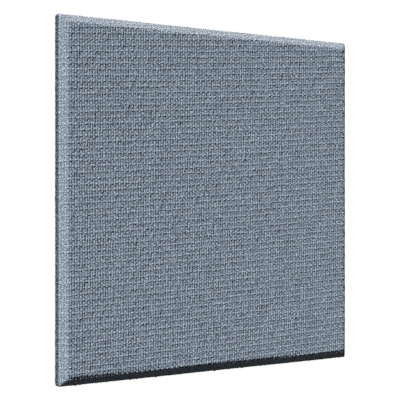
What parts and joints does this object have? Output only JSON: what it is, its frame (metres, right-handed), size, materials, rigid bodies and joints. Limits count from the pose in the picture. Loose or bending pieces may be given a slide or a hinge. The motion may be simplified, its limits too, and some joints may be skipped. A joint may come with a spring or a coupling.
{
  "type": "fabric acoustic wall panel",
  "caption": "Square sound-absorbing wall panel: a rigid fibre board with bevelled front edges, wrapped in coarse woven cloth that returns over the back.",
  "frame": {"origin": "middle of the back, level with the outside of the returned cloth; the panel lies on this plane", "axes": "+Z out of the face, +X to the right and +Y to the top of the hung panel, as seen from in front"},
  "size_m": [0.6096, 0.6096, 0.0254],
  "materials": {
    "woven_cloth": "matte coarse weave, blue-grey",
    "glass_fibre_board": "matte pressed glass fibre, dull yellow"
  },
  "bodies": {
    "root": {"core_board": "glass_fibre_board", "fabric_cover": "woven_cloth"}
  },
  "joints": []
}
